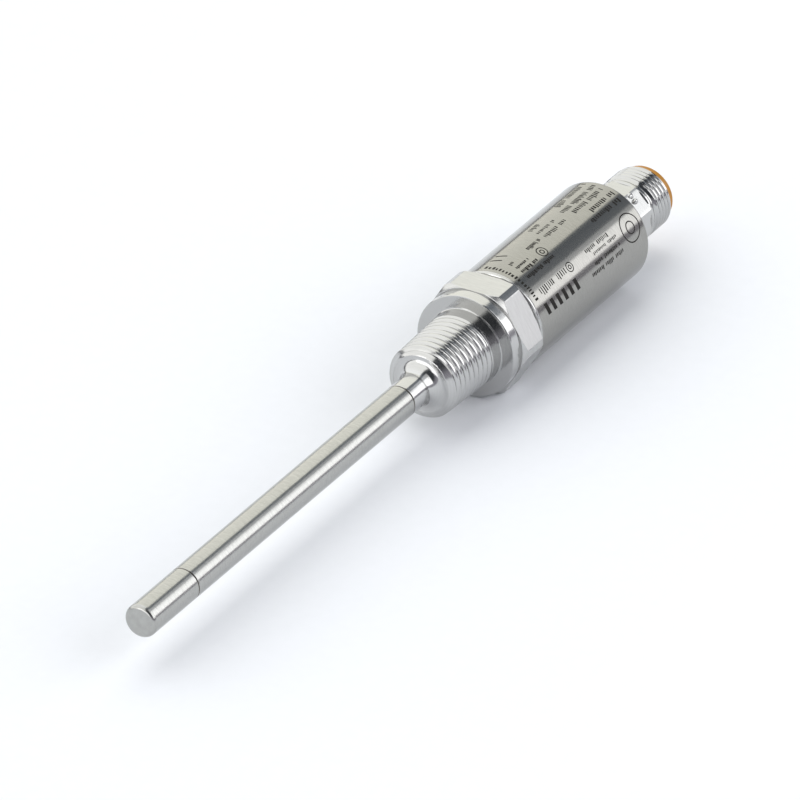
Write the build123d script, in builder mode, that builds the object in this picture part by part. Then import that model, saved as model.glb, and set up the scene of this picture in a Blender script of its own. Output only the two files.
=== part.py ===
from build123d import *
import math
import os

os.makedirs("parts", exist_ok=True)

# A compact stainless steel temperature transmitter: a thin probe with a platinum element in its tip,
# a turned fitting with a taper pipe thread and a hexagon, a tubular housing for the electronics and a
# round plug connector. Millimetres. The axis of the turned parts is X, with the connector towards +X,
# and the origin is on it at the front face of the fitting's collar. The part lies on one flat of its
# hexagon, which faces -Z.

# Probe
probe_diameter = 6.0
probe_tube_length = 70.0
probe_wall = 0.5
tip_cap_length = 14.1
tip_cap_wall = 0.8
tip_end_thickness = 1.5
tip_edge_radius = 0.8

# Fitting in front of the collar
probe_neck_length = 4.5
probe_neck_bore = 4.16
nose_flare_radius = 2.4
nose_cone_length = 0.9
thread_pitch = 25.4 / 18
thread_turns = 8.2
thread_taper = 1 / 16
thread_front_diameter = 13.26
neck_length = 2.6
fitting_bore_diameter = 8.5
fitting_bore_setback = 2.3

# Collar and hexagon
body_diameter = 19.0
collar_length = 2.2
collar_groove_width = 0.3
collar_groove_depth = 0.15
hexagon_length = 5.9
hexagon_corner_standout = 1.1
hexagon_cone_standout = 0.22
hexagon_chamfer_angle = 30.0
rear_groove_width = 0.7
rear_groove_depth = 0.45
fitting_spigot_length = 4.5

# Housing sleeve
sleeve_length = 37.2
sleeve_wall = 0.8
sleeve_rear_wall = 3.0
sleeve_rear_edge = 0.5
seat_clearance = 0.04

# Connector shell
shell_neck_diameter = 12.3
shell_thread_diameter = 11.9
shell_wall = 1.2
shell_plain_length = 0.3
shell_octagon_length = 7.3
shell_across_flats = 11.3
shell_flats = 8
shell_thread_length = 6.9
shell_end_chamfer = 0.5

# Contact carrier and contacts
carrier_tail_length = 2.0
carrier_lip_length = 1.3
carrier_lip_diameter = 10.8
carrier_cup_wall = 0.58
carrier_cavity_depth = 9.6
key_width = 1.6
key_height = 0.9
key_setback = 0.6
contact_count = 4
contact_circle_diameter = 5.0
first_contact_angle = 45.0
contact_diameter = 1.0
contact_setback = 1.9
slip_clearance = 0.02

# Boards
board_thickness = 1.0
board_edge_gap = 0.3
board_tongue_width = 4.6
board_tongue_length = 3.1
terminal_board_gap = 1.0
terminal_board_width = 11.5
terminal_tongue_width = 3.2
fit_gap = 0.1

# Components on the board: two columns on each face, and gaps from the long edges of the board to the
# outer components
upper_column = 8.0
lower_column = 7.5
column_pitch = 9.0
capacitor_edge_gap = 2.25
diode_edge_gap = 3.4

# Small chips on the board
chip_length = 1.6
chip_width = 0.8
chip_height = 0.6
chip_pitch = 2.4
resistor_column_shift = 0.5
chip_capacitor_edge_gap = 2.8
chip_resistor_edge_gap = 2.2

# Sensing element, its leads and what holds them
element_length = 5.0
element_width = 2.2
element_thickness = 1.0
lead_diameter = 0.5
lead_spacing = 1.6
lead_overlap = 1.5
lead_pad_length = 3.0
lead_sleeve_wall = 0.45
lead_sleeve_clearance = 0.15
compound_length = 6.5
guide_width = 5.8
guide_thickness = 3.0
guide_setback = 1.2

# Sizes that follow from those above
probe_radius = probe_diameter / 2
probe_neck_bore_radius = probe_neck_bore / 2
cap_bore_radius = probe_radius - tip_cap_wall
body_radius = body_diameter / 2
sleeve_bore_radius = body_radius - sleeve_wall
shell_neck_radius = shell_neck_diameter / 2
shell_thread_radius = shell_thread_diameter / 2
shell_bore_radius = shell_thread_radius - shell_wall
carrier_cup_radius = shell_bore_radius - slip_clearance
carrier_cavity_radius = carrier_cup_radius - carrier_cup_wall
contact_radius = contact_diameter / 2
lead_radius = lead_diameter / 2
lead_height = board_thickness / 2 + lead_radius + slip_clearance
lead_sleeve_radius = probe_neck_bore_radius - lead_sleeve_clearance
board_half_width = sleeve_bore_radius - board_edge_gap

# Stations along the axis, in front of the collar
thread_rear = -neck_length
thread_front = thread_rear - thread_turns * thread_pitch
nose_ring = thread_front - nose_cone_length
flare_front = nose_ring - nose_flare_radius
neck_weld = flare_front - probe_neck_length
tip_weld = neck_weld - probe_tube_length
tip_face = tip_weld - tip_cap_length
cap_floor = tip_face + tip_end_thickness
element_front = cap_floor + fit_gap
element_rear = element_front + element_length
compound_rear = cap_floor + compound_length

# Stations behind the collar's front face
hexagon_front = collar_length + collar_groove_width
hexagon_rear = hexagon_front + hexagon_length
sleeve_front = hexagon_rear + rear_groove_width
spigot_rear = sleeve_front + fitting_spigot_length
guide_front = spigot_rear - guide_setback - guide_thickness
sleeve_rear = sleeve_front + sleeve_length
rear_wall_front = sleeve_rear - sleeve_rear_wall
shell_octagon_front = sleeve_rear + shell_plain_length
shell_octagon_rear = shell_octagon_front + shell_octagon_length
shell_rear = shell_octagon_rear + shell_thread_length
carrier_front = rear_wall_front - carrier_tail_length
carrier_rear = shell_rear + carrier_lip_length
cavity_floor = carrier_rear - carrier_cavity_depth
terminal_board_rear = carrier_front - terminal_board_gap
board_rear = terminal_board_rear - board_thickness
board_shoulder = spigot_rear + fit_gap
board_front = board_shoulder - board_tongue_length

round_steps = 3


def round_points(centre_x, centre_radius, size, start, end):
    """Points on a round stretch of a turned outline, between two angles, in a few even chords."""
    points = []
    for step in range(round_steps + 1):
        angle = math.radians(start + (end - start) * step / round_steps)
        points.append((centre_x + size * math.cos(angle), centre_radius + size * math.sin(angle)))
    return points


# Probe: the end cap holds the element and is butt-welded to the tube, and the tube to the fitting
tip_edge = round_points(
    tip_face + tip_edge_radius, probe_radius - tip_edge_radius, tip_edge_radius, 180, 90
)

with BuildPart() as tip_cap:
    with BuildSketch(Plane.XY):
        with BuildLine():
            Polyline(
                (tip_face, 0),
                *tip_edge,
                (tip_weld, probe_radius),
                (tip_weld, cap_bore_radius),
                (cap_floor, cap_bore_radius),
                (cap_floor, 0),
                close=True,
            )
        make_face()
    revolve(axis=Axis.X)
tip_cap.part.label = "tip_cap"
export_step(tip_cap.part, "parts/tip_cap.step")

with BuildPart() as probe_tube:
    with BuildSketch(Plane.YZ.offset(tip_weld)):
        Circle(probe_radius)
        Circle(probe_radius - probe_wall, mode=Mode.SUBTRACT)
    extrude(amount=probe_tube_length)
probe_tube.part.label = "probe_tube"
export_step(probe_tube.part, "parts/probe_tube.step")

# Fitting: probe neck, flared nose, taper thread, collar, hexagon and spigot, turned from one bar.
# The thread is the plain taper over its crests, and each end of the hexagon is turned to a cone.
hexagon_corner_radius = body_radius + hexagon_corner_standout
hexagon_cone_radius = body_radius + hexagon_cone_standout
cone_step = hexagon_corner_radius - hexagon_cone_radius
cone_length = cone_step * math.tan(math.radians(hexagon_chamfer_angle))
neck_radius = (thread_front_diameter + (thread_rear - thread_front) * thread_taper) / 2
flare = round_points(flare_front, probe_radius + nose_flare_radius, nose_flare_radius, -90, 0)

with BuildPart() as process_fitting:
    with BuildSketch(Plane.XY):
        with BuildLine():
            Polyline(
                (neck_weld, probe_neck_bore_radius),
                (neck_weld, probe_radius),
                *flare,
                (thread_front, thread_front_diameter / 2),
                (thread_rear, neck_radius),
                (0, neck_radius),
                (0, body_radius),
                (collar_length, body_radius),
                (hexagon_front, body_radius - collar_groove_depth),
                (hexagon_front, hexagon_cone_radius),
                (hexagon_front + cone_length, hexagon_corner_radius),
                (hexagon_rear - cone_length, hexagon_corner_radius),
                (hexagon_rear, hexagon_cone_radius),
                (hexagon_rear, body_radius - rear_groove_depth),
                (sleeve_front, body_radius - rear_groove_depth),
                (sleeve_front, sleeve_bore_radius - seat_clearance),
                (spigot_rear, sleeve_bore_radius - seat_clearance),
                (spigot_rear, fitting_bore_diameter / 2),
                (thread_front + fitting_bore_setback, fitting_bore_diameter / 2),
                (thread_front + fitting_bore_setback, probe_neck_bore_radius),
                close=True,
            )
        make_face()
    revolve(axis=Axis.X)
    with BuildSketch(Plane.YZ.offset(hexagon_front)):
        Circle(hexagon_corner_radius + hexagon_corner_standout)
        RegularPolygon(body_radius, 6, major_radius=False, mode=Mode.SUBTRACT)
    extrude(amount=hexagon_length, mode=Mode.SUBTRACT)
process_fitting.part.label = "process_fitting"
export_step(process_fitting.part, "parts/process_fitting.step")

# Housing: a tube with one closed end, which the connector passes through
with BuildPart() as housing_sleeve:
    with BuildSketch(Plane.YZ.offset(sleeve_front)):
        Circle(body_radius)
    extrude(amount=sleeve_length)
    chamfer(edges().filter_by(GeomType.CIRCLE).sort_by(Axis.X)[-1], sleeve_rear_edge)
    with BuildSketch(Plane.YZ.offset(sleeve_front)):
        Circle(sleeve_bore_radius)
    extrude(amount=sleeve_length - sleeve_rear_wall, mode=Mode.SUBTRACT)
    with BuildSketch(Plane.YZ.offset(rear_wall_front)):
        Circle(shell_neck_radius + seat_clearance)
    extrude(amount=sleeve_rear_wall, mode=Mode.SUBTRACT)
housing_sleeve.part.label = "housing_sleeve"
export_step(housing_sleeve.part, "parts/housing_sleeve.step")

# Connector shell: pressed into the housing's rear wall, with an octagonal neck and the stretch that
# carries the thread for the coupling nut
with BuildPart() as connector_shell:
    with BuildSketch(Plane.YZ.offset(rear_wall_front)):
        Circle(shell_neck_radius)
    extrude(amount=shell_octagon_rear - rear_wall_front)
    with BuildSketch(Plane.YZ.offset(shell_octagon_rear)):
        Circle(shell_thread_radius)
    extrude(amount=shell_thread_length)
    chamfer(edges().filter_by(GeomType.CIRCLE).sort_by(Axis.X)[-1], shell_end_chamfer)
    with BuildSketch(Plane.YZ.offset(rear_wall_front)):
        Circle(shell_bore_radius)
    extrude(until=Until.LAST, mode=Mode.SUBTRACT)
    with BuildSketch(Plane.YZ.offset(shell_octagon_front)):
        Circle(shell_neck_diameter)
        RegularPolygon(
            shell_across_flats / 2,
            shell_flats,
            major_radius=False,
            rotation=180 / shell_flats,
            mode=Mode.SUBTRACT,
        )
    extrude(amount=shell_octagon_length, mode=Mode.SUBTRACT)
connector_shell.part.label = "connector_shell"
export_step(connector_shell.part, "parts/connector_shell.step")

# Contact carrier: a moulded insert with a cup round the contacts, a coding key in the cup and a lip
# that covers the end of the shell
contact_places = []
for contact in range(contact_count):
    contact_angle = math.radians(first_contact_angle + 360 / contact_count * contact)
    contact_y = contact_circle_diameter / 2 * math.cos(contact_angle)
    contact_z = contact_circle_diameter / 2 * math.sin(contact_angle)
    contact_places.append((contact_y, contact_z))

with BuildPart() as contact_carrier:
    with BuildSketch(Plane.YZ.offset(carrier_front)):
        Circle(carrier_cup_radius)
    extrude(amount=shell_rear - carrier_front)
    with BuildSketch(Plane.YZ.offset(shell_rear)):
        Circle(carrier_lip_diameter / 2)
    extrude(amount=carrier_lip_length)
    with BuildSketch(Plane.YZ.offset(cavity_floor)):
        Circle(carrier_cavity_radius)
    extrude(amount=carrier_cavity_depth, mode=Mode.SUBTRACT)
    with BuildSketch(Plane.YZ.offset(cavity_floor)):
        with Locations((0, carrier_cavity_radius - key_height)):
            Rectangle(
                key_width, key_height + carrier_cup_wall / 2, align=(Align.CENTER, Align.MIN)
            )
    extrude(amount=carrier_cavity_depth - key_setback)
    with BuildSketch(Plane.YZ.offset(carrier_front)):
        with Locations(*contact_places):
            Circle(contact_radius + slip_clearance)
    extrude(amount=cavity_floor - carrier_front, mode=Mode.SUBTRACT)
contact_carrier.part.label = "contact_carrier"
export_step(contact_carrier.part, "parts/contact_carrier.step")

# Contacts: four plated pins, soldered on end to the terminal board
for number, (contact_y, contact_z) in enumerate(contact_places, start=1):
    contact_plane = Plane(origin=(terminal_board_rear, contact_y, contact_z), z_dir=(1, 0, 0))
    with BuildPart() as contact_pin:
        with BuildSketch(contact_plane):
            Circle(contact_radius)
        extrude(amount=carrier_rear - contact_setback - terminal_board_rear)
    contact_pin.part.label = f"contact_pin_{number}"
    export_step(contact_pin.part, f"parts/contact_pin_{number}.step")

# Sensing element: a flat ceramic chip with the platinum film, bedded in compound inside the cap
with BuildPart() as sensing_element:
    with BuildSketch(Plane.YZ.offset(element_front)):
        Rectangle(element_width, element_thickness)
    extrude(amount=element_length)
sensing_element.part.label = "sensing_element"
export_step(sensing_element.part, "parts/sensing_element.step")

with BuildPart() as thermal_compound:
    with BuildSketch(Plane.YZ.offset(cap_floor)):
        Circle(cap_bore_radius - slip_clearance)
    extrude(amount=compound_length)
    with BuildSketch(Plane.YZ.offset(element_front - fit_gap / 2)):
        with Locations((0, -(element_thickness + fit_gap) / 2)):
            Rectangle(
                element_width + fit_gap,
                element_thickness + lead_diameter + 2 * fit_gap,
                align=(Align.CENTER, Align.MIN),
            )
    extrude(until=Until.LAST, mode=Mode.SUBTRACT)
thermal_compound.part.label = "thermal_compound"
export_step(thermal_compound.part, "parts/thermal_compound.step")

# Leads: straight wires from the top of the element to the top of the board, in an insulating sleeve
lead_front = element_rear - lead_overlap
lead_rear = board_shoulder + lead_pad_length
for number, side in enumerate((-1, 1), start=1):
    lead_plane = Plane(origin=(lead_front, side * lead_spacing / 2, lead_height), z_dir=(1, 0, 0))
    with BuildPart() as lead_wire:
        with BuildSketch(lead_plane):
            Circle(lead_radius)
        extrude(amount=lead_rear - lead_front)
    lead_wire.part.label = f"lead_wire_{number}"
    export_step(lead_wire.part, f"parts/lead_wire_{number}.step")

with BuildPart() as lead_sleeve:
    with BuildSketch(Plane.YZ.offset(compound_rear + fit_gap)):
        Circle(lead_sleeve_radius)
        Circle(lead_sleeve_radius - lead_sleeve_wall, mode=Mode.SUBTRACT)
    extrude(amount=guide_front - compound_rear - 2 * fit_gap)
lead_sleeve.part.label = "lead_sleeve"
export_step(lead_sleeve.part, "parts/lead_sleeve.step")

# Lead guide: a moulded block in the fitting's bore, with a window for the leads and for the tongue of
# the circuit board
with BuildPart() as lead_guide:
    with BuildSketch(Plane.YZ.offset(guide_front)):
        Rectangle(guide_width, guide_width)
        Rectangle(
            board_tongue_width + fit_gap,
            board_thickness + 2 * slip_clearance,
            mode=Mode.SUBTRACT,
        )
        Rectangle(
            lead_spacing + lead_diameter + fit_gap,
            2 * (lead_height + lead_radius) + fit_gap,
            mode=Mode.SUBTRACT,
        )
    extrude(amount=guide_thickness)
lead_guide.part.label = "lead_guide"
export_step(lead_guide.part, "parts/lead_guide.step")

# Boards: the long one lies across the housing's bore, and the square one joins it to the contacts
with BuildPart() as circuit_board:
    with BuildSketch(Plane.XY.offset(-board_thickness / 2)):
        with Locations((board_shoulder, 0)):
            Rectangle(
                board_rear - board_shoulder,
                2 * board_half_width,
                align=(Align.MIN, Align.CENTER),
            )
        with Locations((board_front, 0)):
            Rectangle(board_tongue_length, board_tongue_width, align=(Align.MIN, Align.CENTER))
        with Locations((board_rear, 0)):
            Rectangle(board_thickness, terminal_tongue_width, align=(Align.MIN, Align.CENTER))
    extrude(amount=board_thickness)
circuit_board.part.label = "circuit_board"
export_step(circuit_board.part, "parts/circuit_board.step")

with BuildPart() as terminal_board:
    with BuildSketch(Plane.YZ.offset(board_rear)):
        Rectangle(terminal_board_width, terminal_board_width)
        Rectangle(
            terminal_tongue_width + fit_gap,
            board_thickness + 2 * slip_clearance,
            mode=Mode.SUBTRACT,
        )
    extrude(amount=board_thickness)
terminal_board.part.label = "terminal_board"
export_step(terminal_board.part, "parts/terminal_board.step")

# Components on the board: name, distance behind the board's shoulder, side of the board's middle, gap
# to the board's edge on that side, length, width, height and the face of the board, +1 the upper one
components = [
    ("converter_chip", upper_column, 0, 0.0, 5.0, 4.4, 1.0, 1),
    ("processor_chip", upper_column + column_pitch, 0, 0.0, 5.0, 5.0, 0.9, 1),
    ("output_driver", lower_column, 0, 0.0, 4.9, 3.9, 1.5, -1),
    ("storage_capacitor", lower_column + column_pitch, -1, capacitor_edge_gap, 7.3, 4.3, 2.9, -1),
    ("surge_diode", lower_column + column_pitch, 1, diode_edge_gap, 4.6, 3.6, 2.1, -1),
]

for name, along, side, edge_gap, length, width, height, face in components:
    aside = side * (board_half_width - edge_gap - width / 2)
    seat = Plane(
        origin=(board_shoulder + along, aside, face * board_thickness / 2),
        x_dir=(1, 0, 0),
        z_dir=(0, 0, face),
    )
    with BuildPart() as component:
        with BuildSketch(seat):
            Rectangle(length, width)
        extrude(amount=height)
    component.part.label = name
    export_step(component.part, f"parts/{name}.step")

# Small chips: a group of capacitors on the upper face and a group of resistors on the lower one, in a
# row along each edge. Each group has its face of the board, its columns and its gap to the edge.
chip_groups = {
    "chip_capacitors": (1, (upper_column, upper_column + column_pitch), chip_capacitor_edge_gap),
    "chip_resistors": (-1, (lower_column + resistor_column_shift,), chip_resistor_edge_gap),
}
for name, (face, columns, edge_gap) in chip_groups.items():
    aside = board_half_width - edge_gap - chip_width / 2
    chip_face = Plane(
        origin=(board_shoulder, 0, face * board_thickness / 2), x_dir=(1, 0, 0), z_dir=(0, 0, face)
    )
    chip_places = [
        (column + step * chip_pitch, side * aside)
        for column in columns
        for step in (-0.5, 0.5)
        for side in (-1, 1)
    ]
    with BuildPart() as chip_group:
        with BuildSketch(chip_face):
            with Locations(*chip_places):
                Rectangle(chip_length, chip_width)
        extrude(amount=chip_height)
    chip_group.part.label = name
    export_step(chip_group.part, f"parts/{name}.step")
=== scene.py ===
import math
import random

import bmesh
import bpy
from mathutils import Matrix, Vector


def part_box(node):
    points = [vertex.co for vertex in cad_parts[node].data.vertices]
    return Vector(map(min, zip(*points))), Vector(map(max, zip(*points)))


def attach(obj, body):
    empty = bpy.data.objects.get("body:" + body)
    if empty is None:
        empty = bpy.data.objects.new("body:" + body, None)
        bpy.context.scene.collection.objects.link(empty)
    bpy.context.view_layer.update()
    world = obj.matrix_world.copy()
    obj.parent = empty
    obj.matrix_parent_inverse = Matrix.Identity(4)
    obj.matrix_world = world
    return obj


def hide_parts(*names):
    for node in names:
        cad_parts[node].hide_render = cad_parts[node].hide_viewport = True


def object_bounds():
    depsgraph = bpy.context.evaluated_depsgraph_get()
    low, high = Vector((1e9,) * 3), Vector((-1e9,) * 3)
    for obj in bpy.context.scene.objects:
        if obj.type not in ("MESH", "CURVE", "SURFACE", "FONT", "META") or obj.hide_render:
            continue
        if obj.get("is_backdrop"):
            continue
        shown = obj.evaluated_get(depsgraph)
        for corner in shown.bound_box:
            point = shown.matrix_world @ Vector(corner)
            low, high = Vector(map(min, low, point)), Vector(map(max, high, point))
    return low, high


# A compact stainless temperature transmitter, lying on one flat of its hexagon. Sizes are in millimetres
# until a mesh, light or camera is made. The axis of the turned parts is X, with the connector at +X.
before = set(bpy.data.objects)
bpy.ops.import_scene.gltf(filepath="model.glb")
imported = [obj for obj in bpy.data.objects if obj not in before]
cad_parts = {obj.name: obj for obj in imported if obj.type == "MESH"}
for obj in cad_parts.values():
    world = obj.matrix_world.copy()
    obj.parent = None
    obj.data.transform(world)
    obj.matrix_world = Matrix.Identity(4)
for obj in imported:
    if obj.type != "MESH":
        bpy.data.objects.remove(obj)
cad_low, cad_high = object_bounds()

MM = 0.001
TURN = 2 * math.pi


def front_of(node):
    """Where a node of the frame begins along the axis."""
    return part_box(node)[0].x / MM


def rear_of(node):
    """Where a node of the frame ends along the axis."""
    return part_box(node)[1].x / MM


# Stations along the axis that the frame gives
tip_face = front_of("tip_cap")
tip_weld = rear_of("tip_cap")
neck_weld = rear_of("probe_tube")
spigot_rear = rear_of("process_fitting")
sleeve_front = front_of("housing_sleeve")
sleeve_rear = rear_of("housing_sleeve")
rear_wall_front = front_of("connector_shell")
shell_rear = rear_of("connector_shell")
carrier_front = front_of("contact_carrier")
carrier_rear = rear_of("contact_carrier")

# Radii that several pieces share
probe_radius = 3.0
body_radius = 9.5
bore_radius = 8.7
connector_neck_radius = 6.15
seat_clearance = 0.04

# How an easing meets the straight stretches beside it: the most of one that it takes, and how far beyond its
# end the next point lies, as a share of its reach
easing_limit = 0.4
easing_margin = 1.2

# Points nearer than this are one point, and shorter edges are taken out
same_point = 0.002
shortest_edge = 0.001


def arc(centre_x, centre_radius, size, start, end, steps):
    """Points of a round stretch of an outline, between two angles in degrees."""
    points = []
    for step in range(steps + 1):
        angle = math.radians(start + (end - start) * step / steps)
        points.append((centre_x + size * math.cos(angle), centre_radius + size * math.sin(angle)))
    return points


def eased(corners, steps=4):
    """Rounds an (x, radius, easing) outline: each corner becomes a short curve of the same number of points,
    with one more point beyond each end of it, which keeps the surfaces beside it even."""
    points = []
    for index, (x, radius, easing) in enumerate(corners):
        corner = Vector((x, radius))
        if not easing:
            points.append((x, radius))
            continue
        before = Vector(corners[index - 1][:2]) - corner
        after = Vector(corners[(index + 1) % len(corners)][:2]) - corner
        reach_before = min(easing, easing_limit * before.length)
        reach_after = min(easing, easing_limit * after.length)
        start = corner + before.normalized() * reach_before
        end = corner + after.normalized() * reach_after
        points.append(tuple(corner + before.normalized() * reach_before * easing_margin))
        for step in range(steps + 1):
            share = step / steps
            point = start * (1 - share) ** 2 + corner * 2 * share * (1 - share) + end * share**2
            points.append((point.x, point.y))
        points.append(tuple(corner + after.normalized() * reach_after * easing_margin))
    return points


def even_angles(count):
    """Angles round the axis, from +Y towards +Z."""
    return [TURN * step / count for step in range(count)]


def round_axis(x, radius, angle):
    """A point at a radius and an angle round the axis."""
    return (x, radius * math.cos(angle), radius * math.sin(angle))


def turned_rings(outline, angles):
    """The rings that an outline of (x, radius) points sweeps round the axis."""
    return [[round_axis(x, radius, angle) for angle in angles] for x, radius in outline]


def shaped_rings(corners_at, angles):
    """The rings of an outline that differs round the axis, from its corners at each angle."""
    columns = [eased(corners_at(angle), steps=3) for angle in angles]
    return [[round_axis(*point, angle) for point, angle in zip(row, angles)] for row in zip(*columns)]


def join_rings(mesh, rings, shift=0):
    """Adds the surface from each ring to the next. With a shift the rings are one helix, and the last point
    of a ring joins the first point of the ring that many further on."""
    rows = [[mesh.verts.new(Vector(point) * MM) for point in ring] for ring in rings]
    for index in range(len(rows) - 1):
        row, following = rows[index], rows[index + 1]
        for place in range(len(row) - 1):
            mesh.faces.new((row[place], row[place + 1], following[place + 1], following[place]))
        if index + 1 + shift < len(rows):
            mesh.faces.new((row[-1], rows[index + shift][0], rows[index + 1 + shift][0], following[-1]))


def finished_piece(name, mesh, material, replaced=(), sharp_angle=32):
    """Closes and shades a mesh, and gives it its finish, its body and the nodes that it stands for."""
    bmesh.ops.remove_doubles(mesh, verts=mesh.verts, dist=same_point * MM)
    bmesh.ops.dissolve_degenerate(mesh, edges=mesh.edges, dist=shortest_edge * MM)
    bmesh.ops.recalc_face_normals(mesh, faces=mesh.faces)
    limit = math.radians(sharp_angle)
    for face in mesh.faces:
        face.smooth = True
    for edge in mesh.edges:
        edge.smooth = len(edge.link_faces) == 2 and edge.calc_face_angle(0) < limit
    data = bpy.data.meshes.new(name)
    mesh.to_mesh(data)
    mesh.free()
    data.materials.append(material)
    piece = bpy.data.objects.new(name, data)
    bpy.context.scene.collection.objects.link(piece)
    shading = piece.modifiers.new("even_shading", "WEIGHTED_NORMAL")
    shading.keep_sharp = True
    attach(piece, "root")
    if replaced:
        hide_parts(*replaced)
    return piece


def local_finish(piece, material, chosen):
    """Gives another finish to the faces of a piece whose centres, in millimetres, are chosen."""
    piece.data.materials.append(material)
    for face in piece.data.polygons:
        if chosen(face.center / MM):
            face.material_index = len(piece.data.materials) - 1


def turned_piece(name, outline, material, replaced=(), columns=128):
    """A turned piece from a closed outline of (x, radius) points."""
    mesh = bmesh.new()
    join_rings(mesh, turned_rings([*outline, outline[0]], even_angles(columns)))
    return finished_piece(name, mesh, material, replaced)


# One pitch of a cut thread with wide crests, from root to root: share of the pitch and height of the flank
THREAD_FORM = (
    (0.00, 0.00),
    (0.035, 0.03),
    (0.07, 0.14),
    (0.25, 0.80),
    (0.30, 0.93),
    (0.37, 0.99),
    (0.50, 1.00),
    (0.63, 0.99),
    (0.70, 0.93),
    (0.75, 0.80),
    (0.93, 0.14),
    (0.965, 0.03),
)
spare_turns = 2


def cut_thread(mesh, start, end, pitch, depth_at, crest_at, limit_at, phase, angles):
    """Adds a right-hand thread between two stations, with spare turns that fold flat at its ends. The crests
    follow one radius, the ends keep to another, and the phase moves the thread by a share of its pitch."""
    turns = math.ceil((end - start) / pitch) + spare_turns + 1
    rings = []
    for turn in range(turns):
        for share, height in THREAD_FORM:
            ring = []
            for angle in angles:
                x = start + (turn - spare_turns + phase + share + angle / TURN) * pitch
                x = min(max(x, start), end)
                radius = min(crest_at(x) - depth_at(x) * (1 - height), limit_at(x))
                if x in (start, end):
                    radius = limit_at(x)
                ring.append(round_axis(x, radius, angle))
            rings.append(ring)
    join_rings(mesh, rings, shift=len(THREAD_FORM))


# Finishes


def srgb(code):
    """The linear colour of an sRGB hex code."""
    channels = [int(code[place : place + 2], 16) / 255 for place in (1, 3, 5)]
    linear = [c / 12.92 if c <= 0.04045 else ((c + 0.055) / 1.055) ** 2.4 for c in channels]
    return (*linear, 1.0)


def add(tree, kind, settings, links=None):
    """Adds a node, with its settings by property or socket and its links by socket."""
    made = tree.nodes.new(kind)
    for key, value in settings.items():
        if isinstance(key, str) and hasattr(made, key):
            setattr(made, key, value)
        else:
            made.inputs[key].default_value = value
    for socket, source in (links or {}).items():
        tree.links.new(source, made.inputs[socket])
    return made


def new_finish(name):
    """An empty material and its tree."""
    material = bpy.data.materials.new(name)
    material.use_nodes = True
    material.node_tree.nodes.clear()
    return material, material.node_tree


def finish_surface(tree, surface):
    """Makes a shader the surface of its material."""
    add(tree, "ShaderNodeOutputMaterial", {}, {"Surface": surface.outputs[0]})


def stainless(name, colour, dark, roughness, line_width, line_length, line_depth, spread):
    """Stainless steel with fine lines round its axis: how wide, long and deep they are in millimetres, and
    how far they spread a reflection along the part."""
    material, tree = new_finish(name)
    place = add(tree, "ShaderNodeTexCoord", {})
    stretched = add(
        tree,
        "ShaderNodeMapping",
        {"Scale": (1 / (line_width * MM), 1 / (line_length * MM), 1 / (line_length * MM))},
        {"Vector": place.outputs["Object"]},
    )
    lines = add(
        tree,
        "ShaderNodeTexNoise",
        {"Scale": 1.0, "Detail": 3.0, "Roughness": 0.6},
        {"Vector": stretched.outputs[0]},
    )
    tone = add(
        tree,
        "ShaderNodeMapRange",
        {"From Min": 0.3, "From Max": 0.7},
        {"Value": lines.outputs["Fac"]},
    )
    tint = add(
        tree,
        "ShaderNodeMix",
        {"data_type": "RGBA", 6: srgb(dark), 7: srgb(colour)},
        {0: tone.outputs[0]},
    )
    polish = add(
        tree,
        "ShaderNodeMapRange",
        {"From Min": 0.25, "From Max": 0.75, "To Min": roughness * 1.2, "To Max": roughness * 0.85},
        {"Value": lines.outputs["Fac"]},
    )
    relief = add(
        tree,
        "ShaderNodeBump",
        {"Strength": 1.0, "Distance": line_depth * MM},
        {"Height": lines.outputs["Fac"]},
    )
    around = add(tree, "ShaderNodeTangent", {"direction_type": "RADIAL", "axis": "X"})
    steel = add(
        tree,
        "ShaderNodeBsdfPrincipled",
        {"Metallic": 1.0, "Anisotropic": spread},
        {
            "Base Color": tint.outputs[2],
            "Roughness": polish.outputs[0],
            "Normal": relief.outputs[0],
            "Tangent": around.outputs[0],
        },
    )
    finish_surface(tree, steel)
    return material


def grained(name, colour, fleck, grain, roughness, depth, metallic=0.0, ior=1.5):
    """A moulded, pressed or plated surface with a fine grain, whose size and depth are in millimetres."""
    material, tree = new_finish(name)
    place = add(tree, "ShaderNodeTexCoord", {})
    noise = add(
        tree,
        "ShaderNodeTexNoise",
        {"Scale": 1 / (grain * MM), "Detail": 2.0},
        {"Vector": place.outputs["Object"]},
    )
    tint = add(
        tree,
        "ShaderNodeMix",
        {"data_type": "RGBA", 6: srgb(colour), 7: srgb(fleck)},
        {0: noise.outputs["Fac"]},
    )
    polish = add(
        tree,
        "ShaderNodeMapRange",
        {"To Min": roughness * 0.85, "To Max": roughness * 1.15},
        {"Value": noise.outputs["Fac"]},
    )
    relief = add(
        tree,
        "ShaderNodeBump",
        {"Strength": 1.0, "Distance": depth * MM},
        {"Height": noise.outputs["Fac"]},
    )
    surface = add(
        tree,
        "ShaderNodeBsdfPrincipled",
        {"Metallic": metallic, "IOR": ior},
        {"Base Color": tint.outputs[2], "Roughness": polish.outputs[0], "Normal": relief.outputs[0]},
    )
    finish_surface(tree, surface)
    return material


# Stainless steel, drawn to a tube and polished round: even and bright, with faint lines. Real lines are about
# 0.02 mm wide, and are drawn wider here so that they show.
probe_steel = stainless("drawn_stainless", "#B4B4B1", "#A8A8A5", 0.19, 0.15, 1.2, 0.0006, 0.3)
# Stainless steel, turned bright: the tool leaves closed rings, so the lines are long
fitting_steel = stainless("turned_stainless", "#C4C4C3", "#B8B8B7", 0.14, 0.12, 40.0, 0.0004, 0.2)
# Stainless steel flats, milled: satin, so the lamps blur in them
flat_steel = stainless("satin_stainless", "#C4C4C3", "#BABAB9", 0.32, 0.3, 2.0, 0.0004, 0.1)
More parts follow.
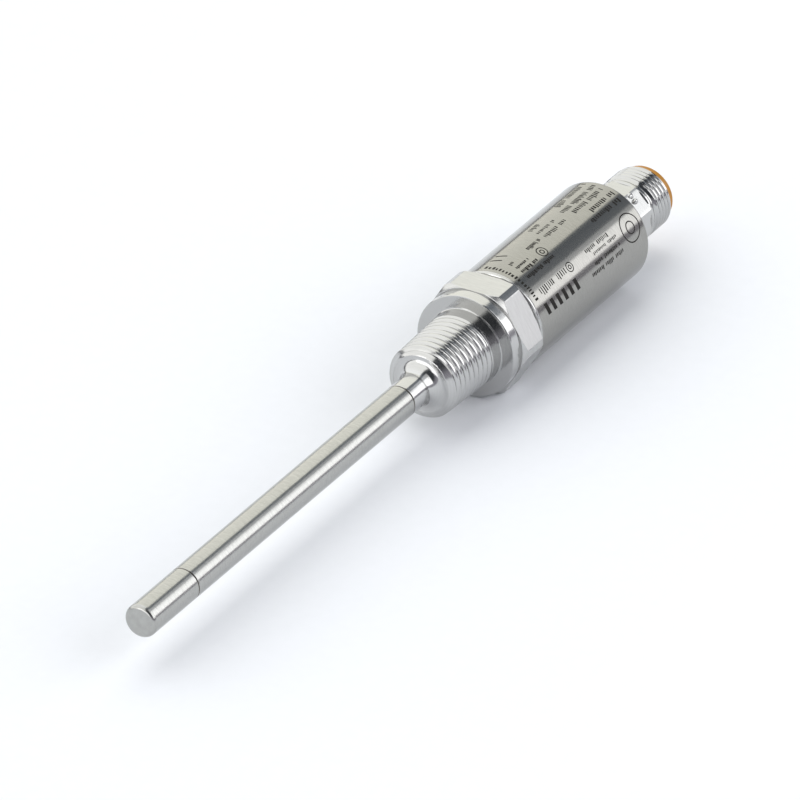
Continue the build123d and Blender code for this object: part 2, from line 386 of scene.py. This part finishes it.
# Stainless steel tube, ground round: darker than the turned steel, with short faint lines
housing_steel = stainless("ground_stainless", "#9E9D99", "#94938F", 0.14, 0.16, 1.6, 0.0005, 0.3)
# Stainless steel, turned and milled bright for the connector
shell_steel = stainless("milled_stainless", "#C2C2C1", "#B6B6B5", 0.1, 0.12, 40.0, 0.0003, 0.2)
# Laser weld on stainless steel: a narrow bead that its heat has tinted, so darker than the steel beside it
weld_steel = grained("welded_stainless", "#6E6B65", "#595650", 0.08, 0.35, 0.001, metallic=1.0)

# Glass-filled polyamide insert, moulded: a dull mustard. Its contacts are brass, gold plated: a soft shine.
carrier_polyamide = grained("mustard_polyamide", "#B47A08", "#A87007", 0.12, 0.45, 0.002, ior=1.53)
gold_plating = grained("gold_plated_brass", "#E8C06A", "#DDB25A", 0.08, 0.22, 0.0005, metallic=1.0)

# Marks burnt into the steel by a laser: a dark matt oxide
laser_oxide = grained("laser_oxide", "#12100D", "#1C1915", 0.06, 0.6, 0.001, ior=1.3)

# The inner pieces, each as it comes from its own process: fired, cast, drawn, extruded, moulded or laminated
element_alumina = grained("alumina_ceramic", "#E9E8E2", "#DEDCD4", 0.06, 0.45, 0.001, ior=1.76)
bedding_compound = grained("ceramic_paste", "#D5D4CF", "#BFBEB8", 0.25, 0.8, 0.01)
lead_copper = grained("drawn_copper", "#C98B63", "#BB7A52", 0.05, 0.3, 0.0008, metallic=1.0)
sleeve_fluoropolymer = grained("white_fluoropolymer", "#F1F0EC", "#E8E7E2", 0.3, 0.4, 0.001, ior=1.38)
guide_nylon = grained("black_nylon", "#26262A", "#2E2E32", 0.1, 0.5, 0.003, ior=1.53)
board_laminate = grained("green_solder_resist", "#1F5E36", "#256B3E", 0.35, 0.35, 0.004)
chip_epoxy = grained("black_epoxy", "#232326", "#2B2B2F", 0.08, 0.6, 0.003)
capacitor_epoxy = grained("yellow_epoxy", "#D2A24A", "#C6953E", 0.15, 0.5, 0.003)
chip_ceramic = grained("tan_ceramic", "#A58C6F", "#97805F", 0.06, 0.45, 0.002, ior=1.8)

INNER_FINISHES = {
    "sensing_element": element_alumina,
    "thermal_compound": bedding_compound,
    "lead_wire_1": lead_copper,
    "lead_wire_2": lead_copper,
    "lead_sleeve": sleeve_fluoropolymer,
    "lead_guide": guide_nylon,
    "circuit_board": board_laminate,
    "terminal_board": board_laminate,
    "converter_chip": chip_epoxy,
    "processor_chip": chip_epoxy,
    "output_driver": chip_epoxy,
    "storage_capacitor": capacitor_epoxy,
    "surge_diode": chip_epoxy,
    "chip_capacitors": chip_ceramic,
    "chip_resistors": chip_ceramic,
}
for node, finish in INNER_FINISHES.items():
    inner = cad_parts[node]
    inner.data.materials.clear()
    inner.data.materials.append(finish)

# Probe: the rounded end cap and the tube, with a weld groove where they meet
probe_bore_radius = 2.5
cap_bore_radius = 2.2
cap_end_thickness = 1.5
tip_edge_radius = 0.8
tip_land = 0.1
tip_flat_end = tip_face + tip_edge_radius
cap_end_rear = tip_face + cap_end_thickness

# Welds: half of the groove's width, its depth, the land beside it, and the bead that its floor is
weld_half_width = 0.21
weld_depth = 0.17
weld_land = 0.08
weld_steps = 6
bead_half_width = 0.6 * weld_half_width
bead_lowest_radius = probe_radius - 1.2 * weld_depth


def weld_shoulder(x, side):
    """One half of the round-bottomed groove at a weld, from the probe's surface to the groove's floor."""
    points = [(x + side * (weld_half_width + weld_land), probe_radius)]
    for step in range(weld_steps + 1):
        along = x + side * weld_half_width * (1 - step / weld_steps)
        sunk = (1 - math.cos(math.pi * step / weld_steps)) / 2
        points.append((along, probe_radius - weld_depth * sunk))
    return points


def on_weld(point):
    """Whether a point of the probe or the fitting lies on a weld bead."""
    along = min(abs(point.x - tip_weld), abs(point.x - neck_weld))
    return along < bead_half_width and math.hypot(point.y, point.z) > bead_lowest_radius


tip_outline = [
    (tip_face, 0.0),
    (tip_face, probe_radius - tip_edge_radius - tip_land),
    *arc(tip_flat_end, probe_radius - tip_edge_radius, tip_edge_radius, 180, 90, 8),
    (tip_flat_end + tip_land, probe_radius),
    *weld_shoulder(tip_weld, -1),
    (tip_weld, cap_bore_radius),
    (cap_end_rear, cap_bore_radius),
    (cap_end_rear, 0.0),
]
shaft_outline = [
    *reversed(weld_shoulder(tip_weld, 1)),
    *weld_shoulder(neck_weld, -1),
    (neck_weld, probe_bore_radius),
    (tip_weld, probe_bore_radius),
]
probe_tip = turned_piece("probe_tip", tip_outline, probe_steel, ["tip_cap"])
probe_shaft = turned_piece("probe_shaft", shaft_outline, probe_steel, ["probe_tube"])
local_finish(probe_tip, weld_steel, on_weld)
local_finish(probe_shaft, weld_steel, on_weld)

# Fitting: nose, taper thread, neck, collar, hexagon and the spigot inside the housing
flare_radius = 2.4
flare_end_angle = -3
flare_steps = 14
nose_cone_length = 0.9
nose_land = 0.12
nose_edge_width = 0.02
thread_pitch = 25.4 / 18
thread_turns = 8.2
thread_phase = 0.35
thread_depth = 0.78
thread_taper = 1 / 16
thread_front_radius = 6.63
runout_turns = 1.1
runout_power = 0.6
neck_length = 2.6
neck_fillet = 0.3
neck_bore_radius = 2.08
fitting_bore_radius = 4.25
fitting_bore_setback = 2.3
collar_length = 2.2
collar_front_easing = 0.25
collar_rear_easing = 0.16
collar_groove_width = 0.3
collar_groove_depth = 0.15
hexagon_sides = 6
hexagon_length = 5.9
hexagon_corner_radius = 10.597
hexagon_corner_blend = 0.015
hexagon_edge_easing = 0.07
hexagon_cone_radius = 9.72
hexagon_cone_slope = math.tan(math.radians(30))
flat_tolerance = 0.03
rear_groove_depth = 0.45
spigot_easing = 0.2

thread_rear = -neck_length
thread_front = thread_rear - thread_turns * thread_pitch
nose_ring = thread_front - nose_cone_length
nose_radius = probe_radius + flare_radius
neck_radius = thread_front_radius + (thread_rear - thread_front) * thread_taper / 2
hexagon_front = collar_length + collar_groove_width
hexagon_rear = hexagon_front + hexagon_length

# Columns of the fitting's mesh, in degrees: those at each edge of a turned corner, the step between the
# others and how near to an edge these may come
CORNER_COLUMNS = (-0.7, -0.35, -0.12, 0.12, 0.35, 0.7)
column_step = 2
column_room = 0.8


def hexagon_angles():
    """Angles round the hexagon, closer together at the edges of its turned corners."""
    half_side = 180 // hexagon_sides
    corner_edge = half_side - math.degrees(math.acos(body_radius / hexagon_corner_radius))
    close = [side * (corner_edge + step) for side in (-1, 1) for step in CORNER_COLUMNS]
    steps = range(-half_side, half_side, column_step)
    wide = [step for step in steps if min(abs(step - edge) for edge in close) > column_room]
    sector = sorted(close + wide)
    return [math.radians(corner + step) for corner in range(0, 360, 2 * half_side) for step in sector]


def blunt_min(first, second, width):
    """The smaller of two radii, with the edge between them eased over a width."""
    return -width * math.log(math.exp(-first / width) + math.exp(-second / width))


def flat_sided_radius(angle, sides, half_flats, corner, blend):
    """The radius of a regular shape with flat sides and turned-down corners, at an angle from a corner."""
    sector = 360 / sides
    from_flat = (math.degrees(angle) % sector) - sector / 2
    flat = half_flats / math.cos(math.radians(from_flat))
    return blunt_min(flat, corner, blend)


def taper_at(x):
    """The crests of the taper thread."""
    return thread_front_radius + (x - thread_front) * thread_taper / 2


def taper_depth(x):
    """The thread's depth, which runs out over its last turn."""
    left = (thread_rear - x) / (runout_turns * thread_pitch)
    return thread_depth * min(1.0, max(0.0, left)) ** runout_power


def nose_limit(x):
    """The cone at the front of the thread, and the plain taper behind it."""
    cone = nose_radius + (x - nose_ring) * (thread_front_radius - nose_radius) / nose_cone_length
    return min(cone, taper_at(x))


def collar_corners(angle):
    """The outline from the end of the thread round the hexagon and back through the bore, at one angle."""
    flank = flat_sided_radius(angle, hexagon_sides, body_radius, hexagon_corner_radius, hexagon_corner_blend)
    front_radius = min(flank, hexagon_cone_radius)
    cone = max(0.0, flank - hexagon_cone_radius) * hexagon_cone_slope
    groove_radius = body_radius - rear_groove_depth
    spigot_radius = bore_radius - seat_clearance
    bore_step = thread_front + fitting_bore_setback
    return [
        (thread_rear, neck_radius, 0),
        (0.0, neck_radius, neck_fillet),
        (0.0, body_radius, collar_front_easing),
        (collar_length, body_radius, collar_rear_easing),
        (hexagon_front, body_radius - collar_groove_depth, 0),
        (hexagon_front, front_radius, hexagon_edge_easing),
        (hexagon_front + cone, flank, hexagon_edge_easing),
        (hexagon_rear - cone, flank, hexagon_edge_easing),
        (hexagon_rear, front_radius, hexagon_edge_easing),
        (hexagon_rear, groove_radius, 0),
        (sleeve_front, groove_radius, 0),
        (sleeve_front, spigot_radius, 0),
        (spigot_rear, spigot_radius, spigot_easing),
        (spigot_rear, fitting_bore_radius, 0),
        (bore_step, fitting_bore_radius, 0),
        (bore_step, neck_bore_radius, 0),
        (neck_weld, neck_bore_radius, 0),
    ]


def on_flats(point):
    """Whether a point of the fitting lies on one of the hexagon's flats."""
    sector = 360 / hexagon_sides
    from_flat = (math.degrees(math.atan2(point.z, point.y)) % sector) - sector / 2
    height = math.hypot(point.y, point.z) * math.cos(math.radians(from_flat))
    return hexagon_front < point.x < hexagon_rear and abs(height - body_radius) < flat_tolerance


fitting_angles = hexagon_angles()
fitting_mesh = bmesh.new()
nose_outline = [
    (neck_weld, neck_bore_radius),
    *reversed(weld_shoulder(neck_weld, 1)),
    *arc(nose_ring - flare_radius, nose_radius, flare_radius, -90, flare_end_angle, flare_steps),
    (nose_ring - nose_edge_width, nose_radius - nose_land),
    (nose_ring, nose_radius),
]
join_rings(fitting_mesh, turned_rings(nose_outline, fitting_angles))
cut_thread(
    fitting_mesh,
    nose_ring,
    thread_rear,
    thread_pitch,
    taper_depth,
    taper_at,
    nose_limit,
    thread_phase,
    fitting_angles,
)
join_rings(fitting_mesh, shaped_rings(collar_corners, fitting_angles))
fitting = finished_piece(
    "threaded_fitting", fitting_mesh, fitting_steel, ["process_fitting"]
)
local_finish(fitting, flat_steel, on_flats)
local_finish(fitting, weld_steel, on_weld)

# Housing: a plain tube whose front edge is chamfered and has a fine groove behind it, and whose closed end
# has the connector through it. Its surface lies under the frame's, to leave room for the marks on it.
mark_thickness = 0.015
sleeve_chamfer_length = 0.2
sleeve_chamfer_depth = 0.4
sleeve_groove_setback = 0.5
sleeve_groove_width = 0.24
sleeve_groove_depth = 0.13
sleeve_groove_front_flank = 0.06
sleeve_groove_rear_flank = 0.08
sleeve_columns = 192
sleeve_radius = body_radius - mark_thickness
sleeve_groove = sleeve_front + sleeve_groove_setback
sleeve_groove_rear = sleeve_groove + sleeve_groove_width
sleeve_groove_radius = sleeve_radius - sleeve_groove_depth
sleeve_hole_radius = connector_neck_radius + seat_clearance
housing_outline = eased(
    [
        (sleeve_front, bore_radius, 0.1),
        (sleeve_front, sleeve_radius - sleeve_chamfer_depth, 0.03),
        (sleeve_front + sleeve_chamfer_length, sleeve_radius, 0.1),
        (sleeve_groove, sleeve_radius, 0.06),
        (sleeve_groove + sleeve_groove_front_flank, sleeve_groove_radius, 0),
        (sleeve_groove_rear - sleeve_groove_rear_flank, sleeve_groove_radius, 0),
        (sleeve_groove_rear, sleeve_radius, 0.05),
        (sleeve_rear, sleeve_radius, 0.5),
        (sleeve_rear, sleeve_hole_radius, 0),
        (rear_wall_front, sleeve_hole_radius, 0),
        (rear_wall_front, bore_radius, 0),
    ],
    steps=6,
)


def on_highlighted_front_edge(point):
    """Whether a point of the housing lies on its front edge, which is turned, and whose brighter steel there
    also paints in the highlight that the rounded edge catches from the lamps.
    """
    return point.x < sleeve_groove_rear


housing = turned_piece(
    "housing", housing_outline, housing_steel, ["housing_sleeve"], sleeve_columns
)
# The front edge takes the brighter turned steel: partly its turned finish, partly a painted highlight on the
# rounded edge.
local_finish(housing, fitting_steel, on_highlighted_front_edge)

# Laser marks on the housing: rows of plain bars of uneven width, and plain double rings. Stations are in
# millimetres and leans in degrees round the housing, from upright towards -Y.
mark_root = 0.03
mark_step = 3.0
marks_mesh = bmesh.new()
draw = random.Random(11)


def mark_strip(pairs, closed=False):
    """Adds a thin slab to the marks, from one pair of (station, lean) edge points to the next."""
    rows = []
    for pair in pairs:
        row = []
        for rises, (x, lean) in zip(((-mark_root, 0.0), (0.0, -mark_root)), pair):
            for rise in rises:
                radius = body_radius + rise
                angle = math.radians(lean)
                point = Vector((x, -radius * math.sin(angle), radius * math.cos(angle)))
                row.append(marks_mesh.verts.new(point * MM))
        rows.append(row)
    if closed:
        rows.append(rows[0])
    for row, following in zip(rows, rows[1:]):
        for side in range(4):
            beside = (side + 1) % 4
            marks_mesh.faces.new((row[side], row[beside], following[beside], following[side]))
    if not closed:
        marks_mesh.faces.new(rows[0])
        marks_mesh.faces.new(rows[-1])


def bar(x_from, x_to, lean_from, lean_to, slant=0.0):
    """A bar across a row of marks, whose end may be moved along to slant it."""
    steps = math.ceil((lean_to - lean_from) / mark_step)
    pairs = []
    for step in range(steps + 1):
        share = step / steps
        lean = lean_from + (lean_to - lean_from) * share
        pairs.append(((x_from + slant * share, lean), (x_to + slant * share, lean)))
    mark_strip(pairs)


def ring(x, lean, size, line, steps=36):
    """A plain ring of a radius and a line width."""
    pairs = []
    for angle in even_angles(steps):
        pair = []
        for radius in (size - line, size):
            turned = lean + math.degrees(radius * math.sin(angle) / body_radius)
            pair.append((x + radius * math.cos(angle), turned))
        pairs.append(tuple(pair))
    mark_strip(pairs, closed=True)


# How the bars of a row vary: how many stand in a group, the heights they may have, and the shares of a stroke
# and of a space that they and the gaps take
GROUP_SIZES = (5, 11)
BAR_HEIGHTS = (0.7, 0.7, 0.85, 1.0)
STROKE_SHARES = (0.7, 1.4)
SPACE_SHARES = (0.8, 1.3)
group_gap = 3


def bar_row(x_from, x_to, lean_from, lean_to, stroke, space):
    """A row of marks along the housing, as groups of bars of uneven width and height."""
    x = x_from
    left = draw.randint(*GROUP_SIZES)
    while x < x_to - stroke:
        width = stroke * draw.uniform(*STROKE_SHARES)
        height = draw.choice(BAR_HEIGHTS)
        bar(x, x + width, lean_from, lean_from + (lean_to - lean_from) * height)
        x += width + space * draw.uniform(*SPACE_SHARES)
        left -= 1
        if left == 0:
            x += group_gap * space
            left = draw.randint(*GROUP_SIZES)


# Rows of bars: from and to along the housing, from and to round it, width of a stroke and space after it
BAR_ROWS = (
    (13.5, 14.9, 3.0, 7.5, 0.2, 0.2),
    (13.4, 17.6, 11.8, 15.4, 0.3, 0.14),
    (13.3, 18.8, 18.6, 23.2, 0.32, 0.14),
    (13.1, 22.3, 26.8, 32.0, 0.34, 0.16),
    (19.7, 23.9, 1.8, 7.2, 0.24, 0.14),
    (25.8, 28.7, -17.0, -10.5, 0.2, 0.26),
    (25.3, 31.1, -5.0, -0.8, 0.22, 0.24),
    (25.1, 32.2, 4.0, 9.2, 0.24, 0.24),
    (13.0, 21.5, 45.0, 54.0, 0.22, 0.34),
    (28.6, 36.7, 45.2, 50.4, 0.2, 0.24),
    (30.2, 37.9, 53.0, 56.4, 0.2, 0.2),
    (29.3, 38.0, 62.0, 66.6, 0.34, 0.18),
    (27.6, 38.6, 70.2, 75.2, 0.26, 0.2),
    (35.7, 45.2, -20.0, -12.5, 0.2, 0.26),
    (33.9, 45.2, -7.0, -0.2, 0.22, 0.24),
    (35.0, 45.0, 3.0, 10.0, 0.24, 0.24),
    (37.6, 45.2, 15.0, 21.2, 0.3, 0.26),
    (35.4, 45.2, 25.0, 31.2, 0.32, 0.26),
)
for row_place in BAR_ROWS:
    bar_row(*row_place)

# The row that runs round the housing: from and to round it, its front, and the ends and breadths of its bars
round_row_from = -16.0
round_row_to = 52.0
round_row_front = 10.75
ROUND_ROW_ENDS = (11.4, 11.6, 11.6)
ROUND_ROW_BREADTHS = (1.3, 2.6)
ROUND_ROW_SPACES = (1.4, 2.2)
lean = round_row_from
while lean < round_row_to:
    breadth = draw.uniform(*ROUND_ROW_BREADTHS)
    bar(round_row_front, draw.choice(ROUND_ROW_ENDS), lean, lean + breadth)
    lean += breadth + draw.uniform(*ROUND_ROW_SPACES)

# Slanted bars: six large ones in a row low on the side, and two small ones on top
bar_slant = 0.5
large_bar_count = 6
large_bar_front = 12.0
large_bar_pitch = 1.97
large_bar_width = 0.95
small_bar_width = 0.3
for place in range(large_bar_count):
    station = large_bar_front + large_bar_pitch * place
    bar(station, station + large_bar_width, 61.0, 74.0, slant=bar_slant)
for station in (13.6, 15.4):
    bar(station, station + small_bar_width, -19.0, -7.0, slant=bar_slant)

# Double rings: station, lean, radius and line width
DOUBLE_RINGS = (
    (20.95, 17.5, 1.15, 0.2),
    (23.0, 48.5, 0.95, 0.18),
    (42.2, 58.0, 2.7, 0.22),
)
inner_ring_share = 0.45
for station, lean, size, line in DOUBLE_RINGS:
    ring(station, lean, size, line)
    ring(station, lean, size * inner_ring_share, line)
finished_piece("laser_marks", marks_mesh, laser_oxide)

# Connector: an octagonal neck with a small locating nub, then a land, a ridge and the fine thread
shell_bore_radius = 4.75
shell_neck_easing = 0.1
shell_plain_length = 0.3
shell_flats = 8
shell_octagon_length = 7.3
shell_half_flats = 5.65
shell_corner_radius = 6.1
shell_corner_blend = 0.02
shell_shoulder_length = 0.2
shell_land_length = 0.35
shell_relief_radius = 5.55
shell_relief_flank = 0.12
shell_ridge_setback = 0.95
shell_ridge_length = 0.28
shell_ridge_radius = 5.85
shell_ridge_easing = 0.08
shell_ridge_flank = 0.15
shell_thread_setback = 1.5
shell_thread_radius = 5.95
shell_thread_depth = 0.54
shell_thread_pitch = 1.0
shell_thread_phase = 0.625
shell_end_chamfer = 0.5
shell_columns = 192

shell_octagon_front = sleeve_rear + shell_plain_length
shell_octagon_rear = shell_octagon_front + shell_octagon_length
shell_thread_front = shell_octagon_rear + shell_thread_setback
shell_root_radius = shell_thread_radius - shell_thread_depth
shell_end_radius = shell_thread_radius - shell_end_chamfer


def shell_crest(x):
    """The crests of the fine thread, which is parallel."""
    return shell_thread_radius


def shell_depth(x):
    """The depth of the fine thread, which is the same all along."""
    return shell_thread_depth


def shell_limit(x):
    """The chamfer at each end of the fine thread."""
    start = shell_root_radius + (x - shell_thread_front)
    end = shell_end_radius + (shell_rear - x)
    return min(shell_thread_radius, start, end)


def shell_corners(angle):
    """The outline from the bore round the octagonal neck to the start of the thread, at one angle."""
    from_corner = angle + math.pi / shell_flats
    flank = flat_sided_radius(
        from_corner, shell_flats, shell_half_flats, shell_corner_radius, shell_corner_blend
    )
    shoulder = shell_octagon_rear + shell_shoulder_length
    land_rear = shoulder + shell_land_length
    ridge = shell_octagon_rear + shell_ridge_setback
    return [
        (rear_wall_front, shell_bore_radius, 0),
        (rear_wall_front, connector_neck_radius, shell_neck_easing),
        (shell_octagon_front, connector_neck_radius, 0),
        (shell_octagon_front, flank, 0),
        (shell_octagon_rear, flank, 0),
        (shoulder, shell_thread_radius, 0.06),
        (land_rear, shell_thread_radius, 0.1),
        (land_rear + shell_relief_flank, shell_relief_radius, 0),
        (ridge - shell_relief_flank, shell_relief_radius, 0),
        (ridge, shell_ridge_radius, shell_ridge_easing),
        (ridge + shell_ridge_length, shell_ridge_radius, shell_ridge_easing),
        (ridge + shell_ridge_length + shell_ridge_flank, shell_root_radius, 0),
        (shell_thread_front, shell_root_radius, 0),
    ]


shell_angles = even_angles(shell_columns)
shell_mesh = bmesh.new()
join_rings(shell_mesh, shaped_rings(shell_corners, shell_angles))
cut_thread(
    shell_mesh,
    shell_thread_front,
    shell_rear,
    shell_thread_pitch,
    shell_depth,
    shell_crest,
    shell_limit,
    shell_thread_phase,
    shell_angles,
)
shell_end = [
    (shell_rear, shell_end_radius),
    (shell_rear, shell_bore_radius),
    (rear_wall_front, shell_bore_radius),
]
join_rings(shell_mesh, turned_rings(shell_end, shell_angles))
finished_piece("connector", shell_mesh, shell_steel, ["connector_shell"], sharp_angle=18)

# The nub: two rounded humps side by side on one of the neck's flats, each with its root inside the neck.
# Each has a lean in degrees, a length and a width, and swells towards the rear.
NUB_HUMPS = (
    (27.0, 1.4, 1.3),
    (40.0, 1.1, 1.0),
)
nub_setback = 4.9
nub_height = 0.62
nub_lift = 0.05
nub_swell = 0.25
along = Vector((1, 0, 0))
nub_mesh = bmesh.new()
for lean, nub_length, nub_width in NUB_HUMPS:
    hump = bmesh.ops.create_uvsphere(nub_mesh, u_segments=32, v_segments=16, radius=1.0)["verts"]
    tilt = math.radians(lean)
    outward = Vector((0, -math.sin(tilt), math.cos(tilt)))
    across = outward.cross(along)
    middle = along * (shell_octagon_front + nub_setback) + outward * (shell_half_flats + nub_lift)
    for vert in hump:
        swell = 1 + nub_swell * vert.co.x
        place = along * vert.co.x * nub_length / 2 + across * vert.co.y * swell * nub_width / 2
        vert.co = (middle + place + outward * vert.co.z * nub_height) * MM
finished_piece("locating_nub", nub_mesh, shell_steel)

# Insert: a cup round the contacts, with a lip over the end of the shell and a coding key inside
carrier_radius = 4.73
carrier_lip_radius = 5.3
carrier_cavity_radius = 4.15
carrier_cavity_depth = 9.6
carrier_columns = 144
key_half_width = 0.8
key_corner_share = 0.72
key_height = 0.9
key_setback = 0.6
key_front = carrier_rear - key_setback
cavity_floor = carrier_rear - carrier_cavity_depth


def keyed_ring(x):
    """A ring of the cup's inside, which goes round the key."""
    ring_points = []
    for angle in even_angles(carrier_columns):
        y = carrier_cavity_radius * math.cos(angle)
        z = carrier_cavity_radius * math.sin(angle)
        if z > 0 and abs(y) < key_half_width:
            z = carrier_cavity_radius - key_height
            y = math.copysign(key_half_width, y) if abs(y) > key_corner_share * key_half_width else y
        ring_points.append((x, y, z))
    return ring_points


carrier_outside = eased(
    [
        (carrier_front, 0.0, 0),
        (carrier_front, carrier_radius, 0.15),
        (shell_rear, carrier_radius, 0),
        (shell_rear, carrier_lip_radius, 0.12),
        (carrier_rear, carrier_lip_radius, 0.3),
        (carrier_rear, carrier_cavity_radius, 0.12),
        (key_front, carrier_cavity_radius, 0),
    ]
)
carrier_rings = [
    *turned_rings(carrier_outside, even_angles(carrier_columns)),
    keyed_ring(key_front),
    keyed_ring(cavity_floor),
    [(cavity_floor, 0.0, 0.0)] * carrier_columns,
]
carrier_mesh = bmesh.new()
join_rings(carrier_mesh, carrier_rings)
finished_piece("contact_insert", carrier_mesh, carrier_polyamide, ["contact_carrier"])

# Contacts: pins with rounded ends
contact_radius = 0.5
contact_columns = 32
for number in range(1, 5):
    low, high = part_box(f"contact_pin_{number}")
    middle = (low + high) / 2
    contact_outline = [
        (low.x / MM, 0.0),
        (low.x / MM, contact_radius),
        *arc(high.x / MM - contact_radius, 0.0, contact_radius, 90, 0, 8),
    ]
    contact_mesh = bmesh.new()
    join_rings(contact_mesh, turned_rings(contact_outline, even_angles(contact_columns)))
    bmesh.ops.translate(contact_mesh, verts=contact_mesh.verts, vec=(0, middle.y, middle.z))
    finished_piece(f"contact_{number}", contact_mesh, gold_plating, [f"contact_pin_{number}"])

# Floor: a wide pale sheet, in metres
floor_half = 4.0
pale_floor, floor_tree = new_finish("pale_floor")
floor_place = add(floor_tree, "ShaderNodeTexCoord", {})
floor_grain = add(
    floor_tree,
    "ShaderNodeTexNoise",
    {"Scale": 400.0},
    {"Vector": floor_place.outputs["Object"]},
)
floor_tint = add(
    floor_tree,
    "ShaderNodeMix",
    {"data_type": "RGBA", 6: srgb("#F0F2F7"), 7: srgb("#EDEFF4")},
    {0: floor_grain.outputs["Fac"]},
)
floor_surface = add(
    floor_tree,
    "ShaderNodeBsdfPrincipled",
    {"Roughness": 0.9, "Specular IOR Level": 0.1},
    {"Base Color": floor_tint.outputs[2]},
)
finish_surface(floor_tree, floor_surface)
floor_mesh = bmesh.new()
bmesh.ops.create_grid(floor_mesh, x_segments=1, y_segments=1, size=floor_half)
floor_data = bpy.data.meshes.new("floor")
floor_mesh.to_mesh(floor_data)
floor_mesh.free()
floor_data.materials.append(pale_floor)
floor = bpy.data.objects.new("floor", floor_data)
floor.location = (0, 0, cad_low.z)
bpy.context.scene.collection.objects.link(floor)
floor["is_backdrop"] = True

# The room: grey at the height of the part, lighter overhead towards the connector and dark behind the camera
room = bpy.data.worlds.new("studio")
bpy.context.scene.world = room
room.use_nodes = True
room_tree = room.node_tree
room_tree.nodes.clear()
room_place = add(room_tree, "ShaderNodeTexCoord", {})
direction = add(room_tree, "ShaderNodeSeparateXYZ", {}, {"Vector": room_place.outputs["Generated"]})
onward = add(
    room_tree,
    "ShaderNodeMapRange",
    {"interpolation_type": "SMOOTHSTEP", "From Min": -0.5, "From Max": 0.5},
    {"Value": direction.outputs["X"]},
)
overhead = add(
    room_tree,
    "ShaderNodeMix",
    {"data_type": "RGBA", 6: srgb("#43464B"), 7: srgb("#7E848C")},
    {0: onward.outputs[0]},
)
skyward = add(
    room_tree,
    "ShaderNodeMapRange",
    {"interpolation_type": "SMOOTHSTEP", "From Min": 0.1, "From Max": 0.4},
    {"Value": direction.outputs["Z"]},
)
aside = add(
    room_tree,
    "ShaderNodeMapRange",
    {"interpolation_type": "SMOOTHSTEP", "From Min": 0.2, "From Max": 0.6},
    {"Value": direction.outputs["Y"]},
)
level = add(
    room_tree,
    "ShaderNodeMix",
    {"data_type": "RGBA", 6: srgb("#A6A4AD"), 7: srgb("#74767A")},
    {0: aside.outputs[0]},
)
room_colour = add(
    room_tree,
    "ShaderNodeMix",
    {"data_type": "RGBA"},
    {0: skyward.outputs[0], 6: level.outputs[2], 7: overhead.outputs[2]},
)
glow = add(room_tree, "ShaderNodeBackground", {"Strength": 1.0}, {"Color": room_colour.outputs[2]})
add(room_tree, "ShaderNodeOutputWorld", {}, {"Surface": glow.outputs[0]})


# Lamps, in metres


def softbox(name, place, rotation, size, radiance, colour="#FFFFFF"):
    """A soft lamp of a length and a width, with how bright it looks."""
    lamp = bpy.data.lights.new(name, "AREA")
    lamp.shape = "RECTANGLE"
    lamp.size = size[0]
    lamp.size_y = size[1]
    lamp.energy = radiance * math.pi * lamp.size * lamp.size_y
    lamp.color = srgb(colour)[:3]
    stand = bpy.data.objects.new(name, lamp)
    stand.location = place
    stand.rotation_euler = rotation
    bpy.context.scene.collection.objects.link(stand)


def long_softbox(name, span, lean, distance, radiance, colour="#FFFFFF"):
    """A soft lamp parallel to the part: from and to along it, the directions of its two edges round the part
    in degrees from upright towards -Y, its distance and how bright it looks."""
    middle = math.radians(sum(lean) / 2)
    half = math.radians(lean[1] - lean[0]) / 2
    place = (sum(span) / 2, -distance * math.sin(middle), distance * math.cos(middle))
    size = (span[1] - span[0], 2 * distance * math.tan(half))
    softbox(name, place, (middle, 0, 0), size, radiance, colour)


def end_softbox(name, station, span, height, radiance):
    """A soft lamp that stands across the end of the part and lights it along its axis: where it stands, from
    and to across it, from and to up it, and how bright it looks."""
    place = (station, sum(span) / 2, sum(height) / 2)
    size = (height[1] - height[0], span[1] - span[0])
    softbox(name, place, (0, -math.pi / 2, 0), size, radiance)


long_softbox("warm_softbox", (0.9, 3.5), (-84, 4), 1.5, 1.2, "#FFFDF0")
long_softbox("overhead_softbox", (-3.5, 0.9), (-84, 4), 1.5, 1.4, "#FFFFFC")
long_softbox("edge_softbox", (-0.3, 4.5), (37, 48), 1.9, 0.5)
long_softbox("white_softbox", (-0.8, 4.5), (48, 76.5), 1.9, 2.0)
long_softbox("probe_softbox", (-0.3, 0.655), (20, 37), 0.6, 0.6)
long_softbox("probe_edge_softbox", (-0.3, 0.655), (37, 48), 0.6, 1.3)
end_softbox("end_softbox", -2.6, (-0.7, 1.6), (0.0, 1.0), 1.8)

# Camera: a long lens that looks down on the part and along it, set by where the tip shows in the frame. Its
# distance is in metres, and its scale is in pixels a millimetre at the tip.
frame_size = 800
tip_pixel = (139.4, 622.4)
camera_distance = 2.3
camera_scale = 6.12
camera_bearing = math.radians(30.38)
camera_drop = math.radians(29.76)
sensor_width = 36.0
focal_pixels = camera_distance / MM * camera_scale
forward = Vector(
    (
        math.cos(camera_bearing) * math.cos(camera_drop),
        math.sin(camera_bearing) * math.cos(camera_drop),
        -math.sin(camera_drop),
    )
)
right = forward.cross(Vector((0, 0, 1))).normalized()
upward = right.cross(forward)
tip_aside = (tip_pixel[0] - frame_size / 2) / focal_pixels * camera_distance
tip_above = (frame_size / 2 - tip_pixel[1]) / focal_pixels * camera_distance
tip_point = Vector((tip_face * MM, 0, 0))
camera_data = bpy.data.cameras.new("camera")
camera_data.sensor_width = sensor_width
camera_data.lens = focal_pixels * sensor_width / frame_size
camera_data.clip_start = 0.05
camera_data.clip_end = 60.0
camera = bpy.data.objects.new("camera", camera_data)
camera.location = tip_point - forward * camera_distance - right * tip_aside - upward * tip_above
camera.rotation_mode = "QUATERNION"
camera.rotation_quaternion = forward.to_track_quat("-Z", "Y")
bpy.context.scene.collection.objects.link(camera)
bpy.context.scene.camera = camera
bpy.context.scene.view_settings.view_transform = "Standard"

low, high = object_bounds()
